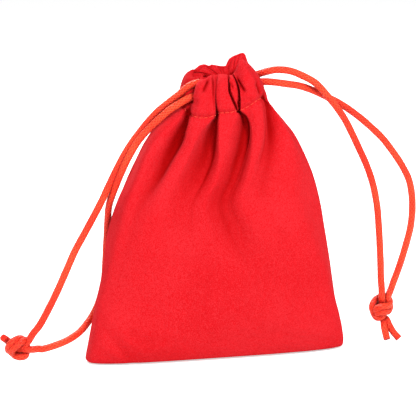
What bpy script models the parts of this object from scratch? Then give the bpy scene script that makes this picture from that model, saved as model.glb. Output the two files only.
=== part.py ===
"""Drawstring dice bag: a small velvet pouch, cinched at the neck by two cords.

Run with  blender --background --python part.py  or from Blender's text editor.
Dimensions are in millimetres, scaled to metres as objects are built, +Z up.
The origin is the centre of the flat underside of the bottom fold. The bag's
width runs along X and its front faces -Y.

The pouch is two fabric walls, sewn together up both sides. At the neck each
wall is turned down inside to make a casing, and the side seams stop short of
it, which leaves a slit at each side. One cord loop enters at the left slit,
the other at the right. Each loop runs through both casings and comes back out
of its own slit, and its two ends are tied in an overhand knot.
"""
import bpy
import bmesh
import math
from collections import namedtuple
from mathutils import Vector, Matrix

MM = 0.001
COLLECTION = "drawstring_dice_bag"

# Signs used for a side of the bag, along Y and along X
WALL_SIDES = {"front": -1, "back": 1}
EDGE_SIDES = {"left": -1, "right": 1}

# ----------------------------------------------------------- stock thicknesses
FABRIC = 1.4            # velvet with its nap
FACING = 1.0            # turned-in hem that closes the casing
CORD_R = 1.4            # 2.8 mm satin cord
THREAD_R = 0.22         # sewing thread, as it lies on the cloth
GAP = 0.3               # clearance between neighbouring pieces

# ----------------------------------------------------------------- pouch form
# Horizontal sections of the pouch: height, left edge, right edge, half depth,
# squareness (2 is an ellipse, more is boxier) and half the gap between the
# walls at the side edges, which opens into the slits at the neck.
Section = namedtuple("Section", "z left right half_depth squareness slit")
SECTIONS = [Section(*row) for row in (
    (2.0,   -50.0, 50.0, 12.5, 2.0, 1.0),
    (10.0,  -48.4, 48.4, 14.0, 2.0, 1.0),
    (20.0,  -46.4, 46.8, 15.0, 2.0, 1.0),
    (30.0,  -43.4, 45.5, 15.0, 2.0, 1.0),
    (40.0,  -42.4, 43.6, 14.8, 2.0, 1.0),
    (50.0,  -41.0, 41.9, 14.4, 2.0, 1.0),
    (60.0,  -37.0, 39.8, 13.8, 2.0, 1.0),
    (70.0,  -32.6, 36.2, 13.2, 2.0, 1.0),
    (80.0,  -27.4, 32.2, 12.6, 2.2, 1.0),
    (88.0,  -21.4, 26.8, 11.8, 2.6, 1.4),
    (93.0,  -15.6, 22.2, 11.0, 3.0, 3.2),
    (96.5,  -11.6, 18.8, 10.6, 3.4, 4.2),
    (102.0, -10.8, 17.6, 10.5, 3.5, 4.2),
    (107.5,  -9.8, 16.2, 10.2, 3.5, 4.2),
)]
SLOPE_LIMIT = 2.5       # steepest slope at a section, as a multiple of the chord's

BASE_THICK = 1.6
BASE_INSET = 0.4        # the bottom fold stays inside the lowest section

# Heights of the rows of vertices in a wall and in a hem
PANEL_LEVELS = [2.0, 6.0, 11.0, 18.0, 26.0, 35.0, 44.0, 53.0, 62.0, 70.0, 77.0, 83.0,
                88.0, 91.5, 94.0, 96.5, 100.0, 103.8, 107.5]
HEM_LEVELS = [94.4, 98.4, 102.4, 106.0]
PANEL_FACES_ACROSS = 22
HEM_FACES_ACROSS = 14
HEM_INSET = 5.4         # hem's outer face, inside the wall's outer face
HEM_SLIT_EXTRA = 0.2

# The rim leaves the top section's height and rises over a pleat right of the middle
TOP_Z = SECTIONS[-1].z
LIFT_START_Z = 96.5
PLEAT_RISE = 3.8
Rim = namedtuple("Rim", "height pleat_x pleat_spread")
RIMS = {-1: Rim(106.5, 8.5, 3.5), 1: Rim(109.0, 11.0, 4.0)}

# ----------------------------------------------------------- seams and stitches
SEAM_BOTTOM = 2.8
SEAM_TOP = 89.0         # side seams stop here, below the slits
SEAM_STEPS = 8
ALLOWANCE_INSET = FABRIC + GAP + 0.5    # strip's outer edge, in from the wall's edge
ALLOWANCE_WIDTH = 5.0
ALLOWANCE_HALF_THICK = 0.5

SIDE_STITCH_BOTTOM = 5.0
SIDE_STITCH_TOP = SEAM_TOP - 3.0
SIDE_STITCH_INSET = FABRIC + GAP + 2.4
SIDE_STITCH_STEPS = 42
SIDE_STITCH_RISE = 0.18     # every other point stands off by this much more

HEM_STITCH_Z = 93.5         # bottom of the casing
HEM_STITCH_START = 0.06     # fraction of the way round the wall
HEM_STITCH_SPAN = 0.88
HEM_STITCH_STEPS = 40
HEM_STITCH_CLEARANCE = GAP + 0.25
HEM_STITCH_RISE = 0.16

# ---------------------------------------------------------------------- cords
NECK_CENTRE_X = 3.5
RUN_Y = 7.3             # straight runs inside the casings
RUN_BOW = 0.3           # how far a run's ends curve in towards the middle
RUN_HALF_LENGTH = 8.0
RUN_HALF_STEPS = 4
RUN_HEIGHTS = {"left": 97.8, "right": 102.6}

# Name: (curve steps per span, waypoints x, y, z). "Front" and "back" name the
# casing a strand comes from; outside the slits each pair crosses over, and the
# back strand passes on the front (-Y) side.
CORD_ROUTES = {
    "left_cord_back_end": (3, [
        (-4.0, 1.9, 102.0), (-9.0, 1.2, 101.8), (-12.6, -0.4, 100.7)]),
    "left_cord_front_end": (3, [
        (-4.0, -1.9, 97.6), (-9.0, -1.6, 97.6), (-13.0, -0.6, 96.6)]),
    "left_cord_back_strand": (3, [
        (-14.2, -1.0, 99.8), (-18.4, -1.8, 96.9), (-25.0, -1.8, 91.2),
        (-29.0, -1.8, 86.0), (-32.6, -1.8, 79.0), (-36.2, -1.8, 71.0),
        (-40.4, -1.7, 64.4)]),
    "left_cord_front_strand": (3, [
        (-13.9, -0.5, 96.0), (-16.8, -0.1, 94.2), (-20.6, 0.3, 91.2),
        (-25.0, 0.8, 86.4), (-29.8, 1.4, 79.2), (-34.6, 1.8, 70.4),
        (-38.4, 2.0, 63.0)]),
    "left_loop_back_strand": (3, [
        (-41.2, -1.6, 63.2), (-46.4, -1.2, 55.0), (-53.4, -1.0, 43.0),
        (-60.2, -1.0, 28.2), (-66.2, -1.2, 17.4), (-70.4, -1.5, 11.2)]),
    "left_loop_front_strand": (2, [
        (-38.8, 2.1, 62.0), (-42.2, 6.4, 52.4), (-42.8, 9.8, 44.3),
        (-43.2, 11.8, 37.6), (-43.4, 12.4, 30.0), (-44.4, 11.8, 22.6),
        (-46.6, 9.8, 16.4), (-49.0, 7.2, 13.2), (-52.2, 4.2, 10.6),
        (-56.0, 1.8, 8.4), (-62.0, 0.2, 6.0), (-69.0, -1.0, 5.0)]),
    "right_cord_back_end": (3, [
        (10.0, 1.9, 104.2), (16.0, 1.8, 105.0), (20.6, 1.5, 106.2)]),
    "right_cord_front_end": (3, [
        (10.0, -1.9, 101.0), (16.0, -1.8, 102.4), (20.6, -0.7, 102.4)]),
    "right_cord_back_strand": (3, [
        (21.9, 1.4, 106.5), (24.8, 0.9, 106.9), (28.4, 0.4, 106.4),
        (32.4, -0.1, 104.8), (38.0, -1.2, 101.6), (42.2, -2.1, 97.3)]),
    "right_cord_front_strand": (3, [
        (21.2, -0.6, 102.4), (27.0, 0.2, 101.6), (32.8, 0.9, 100.6),
        (38.4, 1.7, 98.4), (42.6, 2.2, 96.4)]),
    "right_loop_back_strand": (2, [
        (43.2, -2.1, 96.1), (46.8, -2.1, 91.4), (49.6, -1.8, 87.2),
        (52.6, -1.5, 81.6), (55.6, -1.0, 75.8), (58.6, -1.0, 69.6),
        (61.2, -1.0, 62.4), (63.2, -1.0, 53.6), (64.2, -1.0, 44.0),
        (65.0, -1.0, 32.0), (65.4, -0.8, 19.0)]),
    "right_loop_front_strand": (2, [
        (44.0, 2.2, 95.7), (49.2, 2.0, 93.0), (56.0, 1.5, 88.2),
        (61.2, 1.0, 83.6), (65.0, 0.5, 79.6), (69.2, 0.0, 74.4),
        (73.2, 0.0, 68.4), (76.0, 0.0, 62.4), (77.6, 0.0, 54.6),
        (77.3, 0.0, 45.4), (75.2, 0.0, 36.2), (72.8, 0.0, 28.4),
        (69.6, 0.2, 19.0)]),
}

# Cut ends of the cords, just past the knots: points x, y, z
TAIL_R = CORD_R - 0.1
TAILS = {
    "right_tail_inner": [(65.8, -0.8, 7.6), (66.6, -1.9, 4.4), (67.6, -3.2, 1.4)],
    "right_tail_outer": [(69.2, -0.8, 8.2), (70.9, -2.0, 4.8), (72.8, -3.4, 1.8)],
    "left_tail": [(-79.0, -1.2, 9.8), (-80.0, -1.1, 10.6), (-81.0, -1.0, 11.4)],
}

# Name: (centre, tilt about Y in degrees)
KNOTS = {
    "left_knot": ((-75.1, -1.5, 5.6), 40),
    "right_knot": ((66.3, -0.4, 13.1), 0),
}
KNOT_REACH = 3.4        # from the centre to the middle of the cord at a lobe's tip
KNOT_HALF_DEPTH = 2.0   # how far the cord's middle swings in Y
KNOT_CORD_R = 1.8
KNOT_STEPS = 54
KNOT_WELD = 0.01
KNOT_VOXEL = 0.8


# -------------------------------------------------------------------- helpers
def clear_scene():
    for obj in list(bpy.data.objects):
        bpy.data.objects.remove(obj, do_unlink=True)
    for mesh in list(bpy.data.meshes):
        bpy.data.meshes.remove(mesh)
    for curve in list(bpy.data.curves):
        bpy.data.curves.remove(curve)


def make_collection(name):
    found = bpy.data.collections.get(name)
    if found is None:
        found = bpy.data.collections.new(name)
        bpy.context.scene.collection.children.link(found)
    return found


def make_material(name, colour, roughness):
    mat = bpy.data.materials.new(name)
    mat.use_nodes = True
    bsdf = mat.node_tree.nodes["Principled BSDF"]
    bsdf.inputs["Base Color"].default_value = (*colour, 1.0)
    bsdf.inputs["Roughness"].default_value = roughness
    bsdf.inputs["Metallic"].default_value = 0.0
    mat.diffuse_color = (*colour, 1.0)
    return mat


def place(obj, collection, material):
    """Put the object in this collection only, with this material only."""
    for user in list(obj.users_collection):
        user.objects.unlink(obj)
    collection.objects.link(obj)
    obj.data.materials.clear()
    obj.data.materials.append(material)
    return obj


def spline_through(points, per_span):
    """Catmull-Rom curve through the waypoints."""
    pts = [Vector(p) for p in points]
    extended = [2 * pts[0] - pts[1]] + pts + [2 * pts[-1] - pts[-2]]
    out = []
    for before, start, end, after in zip(extended, extended[1:], extended[2:], extended[3:]):
        for k in range(per_span):
            t = k / per_span
            out.append(0.5 * ((2 * start) + (end - before) * t
                              + (2 * before - 5 * start + 4 * end - after) * t * t
                              + (3 * start - before - 3 * end + after) * t ** 3))
    out.append(pts[-1])
    return out


def poly_curve(curve, points):
    """Add a POLY spline through points in metres."""
    spline = curve.splines.new("POLY")
    spline.points.add(len(points) - 1)
    for slot, point in zip(spline.points, points):
        slot.co = (*point, 1.0)
    return spline


def tube(name, points, radius, collection, material, resolution=2):
    """A round-bevelled curve with filled caps and its origin at its first point."""
    curve = bpy.data.curves.new(name, "CURVE")
    curve.dimensions = "3D"
    curve.bevel_depth = radius * MM
    curve.bevel_resolution = resolution
    curve.use_fill_caps = True
    origin = Vector(points[0]) * MM
    poly_curve(curve, [Vector(p) * MM - origin for p in points])
    obj = bpy.data.objects.new(name, curve)
    obj.location = origin
    return place(obj, collection, material)


def to_mesh(obj, collection, weld):
    """Replace a curve by its evaluated mesh, with its caps welded on.

    The mesh keeps the curve's material; the new object sits at the origin.
    """
    bpy.context.view_layer.update()
    graph = bpy.context.evaluated_depsgraph_get()
    mesh = bpy.data.meshes.new_from_object(obj.evaluated_get(graph))
    bm = bmesh.new()
    bm.from_mesh(mesh)
    bmesh.ops.remove_doubles(bm, verts=bm.verts, dist=weld)
    bmesh.ops.recalc_face_normals(bm, faces=bm.faces)
    bm.to_mesh(mesh)
    bm.free()
    name = obj.name
    bpy.data.objects.remove(obj, do_unlink=True)
    new = bpy.data.objects.new(name, mesh)
    collection.objects.link(new)
    return new


# ------------------------------------------------------------- the pouch form
def limited_slope(slope, chord):
    """Limit a slope as in a monotone cubic, so the outline never overshoots."""
    if chord == 0:
        return 0.0
    return chord * min(max(slope / chord, 0.0), SLOPE_LIMIT)


def section(z):
    """The pouch's section at height z, by cubic interpolation of SECTIONS."""
    rows = SECTIONS
    i = next(i for i in range(len(rows) - 1) if z <= rows[i + 1].z)
    low, high = rows[i], rows[i + 1]
    before = rows[max(i - 1, 0)]
    after = rows[min(i + 2, len(rows) - 1)]
    span = high.z - low.z
    t = (z - low.z) / span
    t2, t3 = t * t, t ** 3
    values = []
    for k in range(1, len(low)):
        chord = high[k] - low[k]
        low_slope = limited_slope(
            (high[k] - before[k]) / (high.z - before.z) * span, chord)
        high_slope = limited_slope(
            (after[k] - low[k]) / (after.z - low.z) * span, chord)
        values.append((2 * t3 - 3 * t2 + 1) * low[k] + (t3 - 2 * t2 + t) * low_slope
                      + (-2 * t3 + 3 * t2) * high[k] + (t3 - t2) * high_slope)
    return Section(z, *values)


def wall_point(u, z, side, inset=0.0, slit_extra=0.0):
    """Point on the wall's outer face. u runs 0..1 from the left edge to the right.

    inset moves the face inwards, towards the middle of the bag.
    """
    sec = section(z)
    slit = sec.slit + slit_extra
    centre = (sec.left + sec.right) / 2
    half_width = (sec.right - sec.left) / 2 - inset
    angle = math.pi * (1.0 - u)
    cosine = math.cos(angle)
    power = 2 / sec.squareness
    x = centre + half_width * math.copysign(abs(cosine) ** power, cosine)
    y = slit + (sec.half_depth - inset - slit) * math.sin(angle) ** power
    return Vector((x, side * y, z))


def rim_lift(x, side):
    """Height of the rim above the top section."""
    rim = RIMS[side]
    pleat = PLEAT_RISE * math.exp(-((x - rim.pleat_x) / rim.pleat_spread) ** 2)
    return rim.height - TOP_Z + pleat


def edge_x(z, side, inset):
    """X at a distance inside the pouch's left or right edge."""
    sec = section(z)
    return (sec.left if side < 0 else sec.right) - side * inset


# ----------------------------------------------------------------- the pieces
def make_cloth(name, levels, across, side, thickness, collection, material,
               inset=0.0, slit_extra=0.0):
    """An open grid lofted between the sections, thickened inwards by Solidify."""
    bm = bmesh.new()
    rows = []
    for z in levels:
        row = []
        for i in range(across + 1):
            point = wall_point(i / across, z, side, inset, slit_extra)
            if z > LIFT_START_Z:
                t = (z - LIFT_START_Z) / (TOP_Z - LIFT_START_Z)
                point.z += rim_lift(point.x, side) * t * t
            row.append(bm.verts.new(point * MM))
        rows.append(row)
    for lower, upper in zip(rows, rows[1:]):
        for i in range(across):
            quad = [lower[i], lower[i + 1], upper[i + 1], upper[i]]
            if side > 0:
                quad.reverse()
            bm.faces.new(quad)
    mesh = bpy.data.meshes.new(name)
    bm.to_mesh(mesh)
    bm.free()
    obj = bpy.data.objects.new(name, mesh)
    solid = obj.modifiers.new("cloth thickness", "SOLIDIFY")
    solid.thickness = thickness * MM
    solid.offset = -1.0
    solid.use_even_offset = True
    mesh.shade_smooth()
    place(obj, collection, material)


def make_bottom_fold(collection, material):
    """The folded bottom of the pouch, a flat elliptical disc it stands on."""
    bottom = SECTIONS[0]
    bpy.ops.mesh.primitive_cylinder_add(vertices=40, radius=1.0, depth=1.0)
    obj = bpy.context.object
    obj.name = "bottom_fold"
    obj.data.name = "bottom_fold"
    obj.scale = ((bottom.right - BASE_INSET) * MM, (bottom.half_depth - BASE_INSET) * MM,
                 BASE_THICK * MM)
    bpy.ops.object.transform_apply(location=False, rotation=False, scale=True)
    obj.location = (0.0, 0.0, BASE_THICK / 2 * MM)
    place(obj, collection, material)


def make_seam_allowance(name, side, collection, material):
    """The two raw edges, turned inside along a side seam: a flat strip."""
    heights = [SEAM_BOTTOM + (SEAM_TOP - SEAM_BOTTOM) * i / SEAM_STEPS
               for i in range(SEAM_STEPS + 1)]
    outer = [(edge_x(z, side, ALLOWANCE_INSET), z) for z in heights]
    inner = [(edge_x(z, side, ALLOWANCE_INSET + ALLOWANCE_WIDTH), z)
             for z in reversed(heights)]
    curve = bpy.data.curves.new(name, "CURVE")
    curve.dimensions = "2D"
    curve.fill_mode = "BOTH"
    curve.extrude = ALLOWANCE_HALF_THICK * MM
    outline = poly_curve(curve, [(x * MM, z * MM, 0.0) for x, z in outer + inner])
    outline.use_cyclic_u = True
    obj = bpy.data.objects.new(name, curve)
    # the outline is drawn in XY; stand it up in XZ
    obj.rotation_euler = (math.pi / 2, 0.0, 0.0)
    place(obj, collection, material)


def make_side_stitching(name, side, collection, material):
    """Lockstitch along the seam, on the front face of the allowance."""
    points = []
    for i in range(SIDE_STITCH_STEPS + 1):
        z = SIDE_STITCH_BOTTOM + (SIDE_STITCH_TOP - SIDE_STITCH_BOTTOM) * i / SIDE_STITCH_STEPS
        y = -(ALLOWANCE_HALF_THICK + GAP + THREAD_R) - (SIDE_STITCH_RISE if i % 2 else 0.0)
        points.append((edge_x(z, side, SIDE_STITCH_INSET), y, z))
    tube(name, points, THREAD_R, collection, material, resolution=0)


def make_hem_stitching(name, side, collection, material):
    """The stitch line that closes the casing, on the outside of the wall."""
    points = []
    for i in range(HEM_STITCH_STEPS + 1):
        u = HEM_STITCH_START + HEM_STITCH_SPAN * i / HEM_STITCH_STEPS
        point = wall_point(u, HEM_STITCH_Z, side)
        along = (wall_point(u + 0.01, HEM_STITCH_Z, side) - point).normalized()
        outward = side * Vector((-along.y, along.x, 0.0))
        stand_off = HEM_STITCH_CLEARANCE + THREAD_R + (HEM_STITCH_RISE if i % 2 else 0.0)
        points.append(point + outward * stand_off)
    tube(name, points, THREAD_R, collection, material, resolution=0)


def make_cord_run(name, side, z, collection, material):
    """The length of cord inside one casing, bowed slightly with the wall."""
    points = []
    for i in range(2 * RUN_HALF_STEPS + 1):
        t = -1 + i / RUN_HALF_STEPS
        points.append((NECK_CENTRE_X + RUN_HALF_LENGTH * t,
                       side * (RUN_Y - RUN_BOW * t * t), z))
    tube(name, points, CORD_R, collection, material)


def make_knot(name, centre, tilt, collection, material):
    """Both strands of a loop tied together in an overhand knot.

    The doubled cord makes a trefoil, which is an overhand knot pulled up tight;
    a voxel remesh joins its crossings into one closed solid.
    """
    points = []
    for i in range(KNOT_STEPS + 1):
        t = 2 * math.pi * i / KNOT_STEPS
        # the plain trefoil reaches 3 units from its centre
        x = (math.sin(t) + 2 * math.sin(2 * t)) * KNOT_REACH / 3
        y = -math.sin(3 * t) * KNOT_HALF_DEPTH
        z = (math.cos(t) - 2 * math.cos(2 * t)) * KNOT_REACH / 3
        points.append((x, y, z))
    curve_obj = tube(name, points, KNOT_CORD_R, collection, material)
    obj = to_mesh(curve_obj, collection, KNOT_WELD * MM)
    # the curve's own origin was its first point; move it to the knot's centre
    obj.data.transform(Matrix.Translation(Vector(points[0]) * MM))
    obj.location = Vector(centre) * MM
    obj.rotation_euler = (0.0, tilt, 0.0)
    remesh = obj.modifiers.new("pulled tight", "REMESH")
    remesh.mode = "VOXEL"
    remesh.voxel_size = KNOT_VOXEL * MM
    remesh.use_smooth_shade = True


# ------------------------------------------------------------------ the model
clear_scene()
parts = make_collection(COLLECTION)

velvet = make_material("red_velvet", colour=(0.82, 0.012, 0.022), roughness=0.9)
satin = make_material("scarlet_satin_cord", colour=(0.95, 0.055, 0.017), roughness=0.45)
thread = make_material("salmon_thread", colour=(0.85, 0.14, 0.09), roughness=0.7)

make_bottom_fold(parts, velvet)

for wall, side in WALL_SIDES.items():
    make_cloth(f"{wall}_panel", PANEL_LEVELS, PANEL_FACES_ACROSS, side, FABRIC, parts, velvet)
    make_cloth(f"{wall}_hem", HEM_LEVELS, HEM_FACES_ACROSS, side, FACING, parts, velvet,
               inset=HEM_INSET, slit_extra=HEM_SLIT_EXTRA)
    make_hem_stitching(f"{wall}_hem_stitching", side, parts, thread)
    for loop, z in RUN_HEIGHTS.items():
        make_cord_run(f"{loop}_cord_{wall}_run", side, z, parts, satin)

for edge, side in EDGE_SIDES.items():
    make_seam_allowance(f"{edge}_seam_allowance", side, parts, velvet)
    make_side_stitching(f"{edge}_side_stitching", side, parts, thread)

for name, (per_span, waypoints) in CORD_ROUTES.items():
    tube(name, spline_through(waypoints, per_span), CORD_R, parts, satin)

for name, (centre, tilt) in KNOTS.items():
    make_knot(name, centre, math.radians(tilt), parts, satin)

for name, points in TAILS.items():
    tube(name, points, TAIL_R, parts, satin)

bpy.context.view_layer.update()
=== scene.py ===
"""Drawstring dice bag: red velvet pouch with two orange-red satin cords.

The pouch stands on z = 0 with its front wall towards -Y, its side seams at -X and
+X and its gathered mouth at the top. A cord with a knotted loop hangs on each side.

Each wall is lofted from lines of points that run from the rim down, then wrinkled
and thickened into a closed shell. Shapes are worked out in millimetres and scaled
to metres when a mesh is made; the lights and the camera use metres.
"""
import math
from collections import namedtuple

import bpy
import bmesh
import numpy as np
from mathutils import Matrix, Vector, noise


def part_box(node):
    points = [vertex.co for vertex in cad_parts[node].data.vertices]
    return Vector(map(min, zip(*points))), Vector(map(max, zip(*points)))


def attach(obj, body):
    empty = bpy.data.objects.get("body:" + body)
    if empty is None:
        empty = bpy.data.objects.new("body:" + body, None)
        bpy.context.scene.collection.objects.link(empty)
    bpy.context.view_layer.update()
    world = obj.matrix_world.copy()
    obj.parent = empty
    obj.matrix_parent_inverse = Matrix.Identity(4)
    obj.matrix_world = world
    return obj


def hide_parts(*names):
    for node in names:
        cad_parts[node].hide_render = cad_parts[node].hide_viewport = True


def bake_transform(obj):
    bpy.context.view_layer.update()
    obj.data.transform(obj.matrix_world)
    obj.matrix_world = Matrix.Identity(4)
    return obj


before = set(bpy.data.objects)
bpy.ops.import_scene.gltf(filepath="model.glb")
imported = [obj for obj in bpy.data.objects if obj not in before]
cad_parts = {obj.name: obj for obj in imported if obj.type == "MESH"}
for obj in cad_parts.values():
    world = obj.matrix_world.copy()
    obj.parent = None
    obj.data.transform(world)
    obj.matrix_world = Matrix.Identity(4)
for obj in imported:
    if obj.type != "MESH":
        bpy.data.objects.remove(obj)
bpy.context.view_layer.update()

MM = 0.001
TURN = 2 * math.pi

# The tables are drawn for a front wall 100 mm wide, a back rim 112.8 mm high and a
# pouch 30 mm deep; SCALE fits them to the CAD walls.
front_low, front_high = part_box("front_panel")
back_low, back_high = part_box("back_panel")
SCALE_X = (front_high.x - front_low.x) / 0.100
SCALE_Y = (back_high.y - front_low.y) / 0.030
SCALE_Z = back_high.z / 0.1128
SCALE = np.array([SCALE_X, SCALE_Y, SCALE_Z])

FRONT, BACK = -1, 1             # which way a wall faces along Y

HEM_LINE = 4                    # row of both cages where the hem is stitched
HOLE_X, HOLE_Z = 4.4, 105.4     # middle of the small hole in the gathered mouth
CLOTH_THICKNESS = 1.05
RIM_THICKNESS = 1.2

STITCH_PITCH = 2.05
STITCH_LENGTH = STITCH_PITCH * 0.80
STITCH_RADIUS = 0.15

CORD_RADIUS = 1.32
HIDDEN_CORD_RADIUS = 1.2        # where a cord runs inside a casing
CORD_SIDES = 22
CORD_STEP = 0.35                # length of one ring of faces along a cord
BRAID_STRANDS = 7               # in each direction round a cord
BRAID_PITCH = 1.7


# =================================================================== materials
class Shading:
    """The node tree of a material or world, with short calls to build it."""

    def __init__(self, owner):
        owner.use_nodes = True
        self.nodes = owner.node_tree.nodes
        self.links = owner.node_tree.links

    def feed(self, node, inputs):
        """Set sockets by name or number; another node's output is linked instead."""
        for socket, value in inputs.items():
            if isinstance(value, bpy.types.NodeSocket):
                self.links.new(value, node.inputs[socket])
            else:
                node.inputs[socket].default_value = value

    def add(self, kind, inputs=None, **settings):
        node = self.nodes.new("ShaderNode" + kind)
        for setting, value in settings.items():
            setattr(node, setting, value)
        self.feed(node, inputs or {})
        return node

    def math(self, operation, *operands, **settings):
        inputs = dict(enumerate(operands))
        return self.add("Math", inputs, operation=operation, **settings).outputs[0]

    def object_space(self):
        return self.add("TexCoord").outputs["Object"]

    def noise(self, place, scale, detail, roughness=0.5):
        inputs = {"Vector": place, "Scale": scale, "Detail": detail, "Roughness": roughness}
        return self.add("TexNoise", inputs).outputs["Fac"]

    def ramp(self, factor, stops):
        """Colour ramp from (position, colour) stops."""
        node = self.add("ValToRGB", {"Fac": factor})
        elements = node.color_ramp.elements
        while len(elements) < len(stops):
            elements.new(0.5)
        for element, (position, colour) in zip(elements, stops):
            element.position = position
            element.color = (*colour, 1.0)
        return node.outputs["Color"]

    def mix(self, a, b, factor=1.0, blend="MULTIPLY"):
        inputs = {"Factor": factor, "A": a, "B": b}
        node = self.add("Mix", inputs, data_type="RGBA", blend_type=blend)
        return node.outputs["Result"]

    def bump(self, height, strength, distance, under=None):
        """Bumped normal, on top of the normal under if there is one."""
        inputs = {"Height": height, "Strength": strength, "Distance": distance}
        if under is not None:
            inputs["Normal"] = under
        return self.add("Bump", inputs).outputs["Normal"]

    def surface(self, inputs):
        self.feed(self.nodes["Principled BSDF"], inputs)


def add_lint(shading, place, colour):
    """A few pale specks caught in the pile."""
    cells = shading.add("TexVoronoi", {"Vector": place, "Scale": 135.0, "Randomness": 1.0})
    speck = shading.math("LESS_THAN", cells.outputs["Distance"], 0.030)
    split = shading.add("SeparateColor", {"Color": cells.outputs["Color"]})
    rare = shading.math("GREATER_THAN", split.outputs[0], 0.90)
    shown = shading.math("MULTIPLY", speck, rare)
    strength = shading.math("MULTIPLY", shown, 0.5)
    return shading.mix(colour, (0.62, 0.16, 0.15, 1), factor=strength, blend="MIX")


def velvet_material(name, dark, base, light, lint=True):
    material = bpy.data.materials.new(name)
    shading = Shading(material)
    place = shading.object_space()
    brushed = shading.noise(place, scale=42.0, detail=3.0)
    mottle = shading.noise(place, scale=620.0, detail=3.0, roughness=0.6)
    grain = shading.noise(place, scale=3000.0, detail=3.0, roughness=0.6)
    # weighted sum of the three noises, brought back to the middle of the ramp
    tone = shading.math("MULTIPLY", brushed, 0.34)
    tone = shading.math("MULTIPLY_ADD", mottle, 0.14, tone)
    tone = shading.math("MULTIPLY_ADD", grain, 1.45, tone)
    tone = shading.math("SUBTRACT", tone, 0.465)
    colour = shading.ramp(tone, [(0.36, dark), (0.50, base), (0.64, light)])
    if lint:
        colour = add_lint(shading, place, colour)
    # painted shade: deep in the folds the colour goes deep red and the sheen fades
    painted_shade = shading.add("Attribute", attribute_name="painted_shade").outputs["Fac"]
    painted_fold_shade = shading.ramp(painted_shade, [(0.0, (1, 1, 1)), (0.35, (0.83, 0.56, 0.56)),
                                      (0.75, (0.58, 0.14, 0.14)), (1.0, (0.46, 0.04, 0.04))])
    sheen = shading.math("MULTIPLY_ADD", painted_shade, -0.22, 0.22, use_clamp=True)
    soft = shading.bump(mottle, strength=0.5, distance=0.00030)
    shading.surface({
        "Base Color": shading.mix(colour, painted_fold_shade),
        "Roughness": 0.95,
        "Specular IOR Level": 0.04,
        "Sheen Weight": sheen,
        "Sheen Roughness": 0.4,
        "Sheen Tint": (1.0, 0.16, 0.19, 1.0),
        "Normal": shading.bump(grain, strength=0.7, distance=0.00018, under=soft),
    })
    return material


def cord_material(name):
    material = bpy.data.materials.new(name)
    shading = Shading(material)
    # X runs 0..1 round the cord, Y runs along it in millimetres
    uv = shading.add("UVMap", uv_map="cord").outputs["UV"]
    split = shading.add("SeparateXYZ", {0: uv})

    def wave(around, along):
        """Sine wave with these angles per turn and per millimetre."""
        angle = shading.math("MULTIPLY", split.outputs["X"], around)
        angle = shading.math("MULTIPLY_ADD", split.outputs["Y"], along, angle)
        return shading.math("SINE", angle)

    braid = shading.math("MAXIMUM", wave(TURN * BRAID_STRANDS, TURN / BRAID_PITCH),
                         wave(-TURN * BRAID_STRANDS, TURN / BRAID_PITCH))
    fibres = wave(TURN * 46, TURN * 2.2)
    place = shading.object_space()
    fuzz = shading.noise(place, scale=900.0, detail=3.0, roughness=0.6)
    patches = shading.noise(place, scale=62.0, detail=2.0)
    # painted light and shade on the braid: lighter on the strands, shade between them, broken
    # up by the fuzz
    tone = shading.math("MULTIPLY_ADD", braid, 0.34, 0.17)
    tone = shading.math("MULTIPLY_ADD", fuzz, 0.72, tone)
    colour = shading.ramp(tone, [(0.0, (0.46, 0.005, 0.001)), (0.42, (0.90, 0.028, 0.005)),
                                 (1.0, (1.0, 0.092, 0.024))])
    patch_tint = shading.ramp(patches, [(0.38, (0.92, 0.50, 0.46)), (0.62, (1.0, 1.04, 1.04))])
    colour = shading.mix(colour, patch_tint)
    # painted shade from ambient occlusion: deep red where strands press together in a knot
    occlusion = shading.add("AmbientOcclusion", {"Distance": 0.0042}, samples=8)
    painted_knot_shade = shading.ramp(occlusion.outputs["AO"], [
        (0.20, (0.40, 0.05, 0.05)), (0.62, (0.80, 0.42, 0.40)), (0.93, (1.0, 1.0, 1.0))])
    normal = shading.bump(braid, strength=0.6, distance=0.00022)
    normal = shading.bump(fibres, strength=0.35, distance=0.00006, under=normal)
    normal = shading.bump(fuzz, strength=0.4, distance=0.00010, under=normal)
    shading.surface({
        "Base Color": shading.mix(colour, painted_knot_shade),
        "Roughness": 0.5,
        "Specular IOR Level": 0.35,
        "Sheen Weight": 0.25,
        "Sheen Roughness": 0.35,
        "Sheen Tint": (1.0, 0.35, 0.2, 1.0),
        "Normal": normal,
    })
    return material


def thread_material(name):
    material = bpy.data.materials.new(name)
    shading = Shading(material)
    fuzz = shading.noise(shading.object_space(), scale=1500.0, detail=2.0)
    shading.surface({
        "Base Color": shading.ramp(fuzz, [(0.3, (0.74, 0.032, 0.022)),
                                          (0.7, (0.95, 0.080, 0.048))]),
        "Roughness": 0.7,
        "Specular IOR Level": 0.12,
        "Sheen Weight": 0.06,
        "Normal": shading.bump(fuzz, strength=0.5, distance=0.00005),
    })
    return material


VELVET = velvet_material("red_velvet", dark=(0.585, 0.0062, 0.0105),
                         base=(0.62, 0.0128, 0.0190), light=(0.655, 0.0225, 0.0305))
INNER = velvet_material("velvet_inside", dark=(0.32, 0.004, 0.006),
                        base=(0.40, 0.006, 0.009), light=(0.48, 0.010, 0.014), lint=False)
CORD = cord_material("satin_cord")
THREAD = thread_material("salmon_thread")


# ============================================================== curves and grids
# A grid is an array [row from the rim down, column from -X to +X, xyz].
def smoothstep(low, high, x):
    t = np.clip((x - low) / (high - low), 0, 1)
    return t * t * (3 - 2 * t)


def distance_along(points, axis=0):
    """Length along lines of points, starting from 0."""
    steps = np.linalg.norm(np.diff(points, axis=axis), axis=-1)
    return np.insert(np.cumsum(steps, axis=axis), 0, 0.0, axis=axis)


def sample_line(line, along, distance):
    """Point, or points, at a distance along the line."""
    return np.stack([np.interp(distance, along, line[:, k]) for k in range(3)], axis=-1)


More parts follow.
